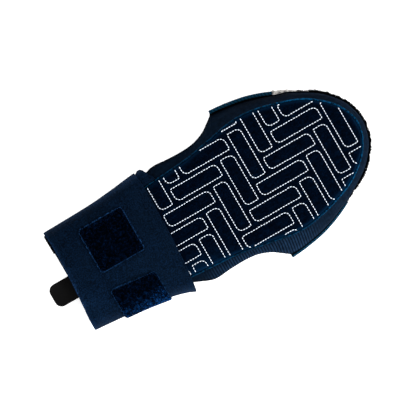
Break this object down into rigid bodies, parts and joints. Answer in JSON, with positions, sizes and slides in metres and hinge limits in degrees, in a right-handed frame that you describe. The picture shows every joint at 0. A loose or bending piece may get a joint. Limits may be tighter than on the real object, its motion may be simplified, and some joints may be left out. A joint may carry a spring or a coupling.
{
  "type": "sliding mitt",
  "caption": "Padded sliding mitt with a stitched palm, open thumb sides and a wrap-around wrist strap with loop patches and a pull tab.",
  "frame": {"origin": "under the middle of the mitt's box, on the surface that its back lies on", "axes": "+X from the wrist to the fingertips, +Y to the left across the hand, +Z out of the palm"},
  "size_m": [0.3234, 0.1522, 0.047],
  "materials": {
    "palm_suede": "matte suede-like knit with white stitching",
    "piping": "satin cord",
    "side_knit": "matte knit",
    "back_fabric": "matte knit",
    "woven_tape": "ribbed woven tape",
    "rough_black": "matte rough pile",
    "rough_pale": "matte rough pile",
    "strap_fabric": "matte brushed elastic",
    "loop_pile": "loop pile",
    "tab_rubber": "satin moulded rubber"
  },
  "bodies": {
    "root": {"palm_panel": "palm_suede", "palm_piping": "piping", "side_wall": "side_knit", "back_plate": "back_fabric", "wing_tape_left": "woven_tape", "wing_tape_right": "woven_tape", "tip_edge_pale": "rough_pale", "tip_edge": "rough_black", "wrist_strap": "strap_fabric", "loop_patch_top": "loop_pile", "loop_patch_side": "loop_pile", "pull_tab": "tab_rubber"}
  },
  "joints": []
}
